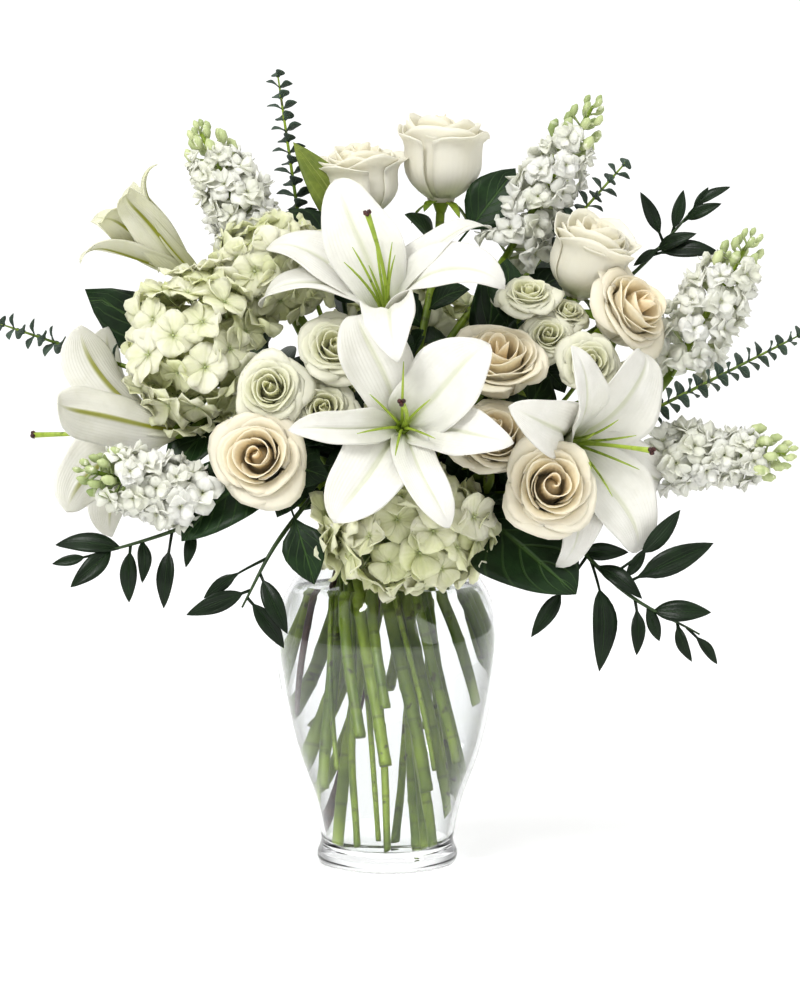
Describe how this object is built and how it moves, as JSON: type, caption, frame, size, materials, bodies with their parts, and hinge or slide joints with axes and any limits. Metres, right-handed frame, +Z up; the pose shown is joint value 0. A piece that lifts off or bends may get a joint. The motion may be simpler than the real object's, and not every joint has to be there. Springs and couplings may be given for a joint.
{
  "type": "lilies in a vase",
  "caption": "Mixed bouquet of white lilies, cream roses, hydrangea, stock and dark foliage standing in a clear glass vase of water.",
  "frame": {"origin": "centre of the vase's flat underside, on the surface that it stands on", "axes": "+Z up the vase, -Y towards the viewer of the picture, +X to the viewer's right"},
  "size_m": [0.6092, 0.373, 0.6161],
  "materials": {
    "clear_glass": "clear, thick, polished",
    "water": "clear water",
    "lily_petal": "cool white petal with a green-yellow throat",
    "rose_petal": "cream petal with a peach heart",
    "spray_rose_petal": "ivory-green petal",
    "hydrangea_floret": "pale green-white floret",
    "stock_floret": "white ruffled floret",
    "green_stem": "fresh green stem, bud and leaf",
    "eucalyptus_leaf": "matt grey-green leaf",
    "ruscus_leaf": "dark green satin leaf",
    "salal_leaf": "dark green satin leaf"
  },
  "bodies": {
    "root": {"vase": "clear_glass", "water": "water", "lily_1": "lily_petal", "lily_2": "lily_petal", "lily_3": "lily_petal", "lily_4": "lily_petal", "lily_5": "lily_petal", "lily_stem_1": "green_stem", "lily_stem_2": "green_stem", "lily_stem_3": "green_stem", "rose_1": "rose_petal", "rose_2": "rose_petal", "rose_3": "rose_petal", "rose_4": "rose_petal", "rose_5": "rose_petal", "rose_6": "rose_petal", "rose_7": "rose_petal", "rose_8": "rose_petal", "rose_stem_1": "green_stem", "rose_stem_2": "green_stem", "rose_stem_3": "green_stem", "rose_stem_4": "green_stem", "rose_stem_5": "green_stem", "rose_stem_6": "green_stem", "rose_stem_7": "green_stem", "rose_stem_8": "green_stem", "spray_roses_1": "spray_rose_petal", "spray_roses_2": "spray_rose_petal", "spray_roses_3": "spray_rose_petal", "hydrangea_1": "hydrangea_floret", "hydrangea_2": "hydrangea_floret", "hydrangea_3": "hydrangea_floret", "hydrangea_4": "hydrangea_floret", "hydrangea_stem_1": "green_stem", "hydrangea_stem_2": "green_stem", "hydrangea_stem_3": "green_stem", "hydrangea_stem_4": "green_stem", "stock_1": "stock_floret", "stock_2": "stock_floret", "stock_3": "stock_floret", "stock_4": "stock_floret", "stock_5": "stock_floret", "stock_stem_1": "green_stem", "stock_stem_2": "green_stem", "stock_stem_3": "green_stem", "stock_stem_4": "green_stem", "stock_stem_5": "green_stem", "eucalyptus_1": "eucalyptus_leaf", "eucalyptus_2": "eucalyptus_leaf", "eucalyptus_3": "eucalyptus_leaf", "eucalyptus_4": "eucalyptus_leaf", "ruscus_1": "ruscus_leaf", "ruscus_2": "ruscus_leaf", "ruscus_3": "ruscus_leaf", "ruscus_4": "ruscus_leaf", "salal_1": "salal_leaf", "salal_2": "salal_leaf", "salal_3": "salal_leaf", "salal_4": "salal_leaf", "salal_5": "salal_leaf"}
  },
  "joints": []
}
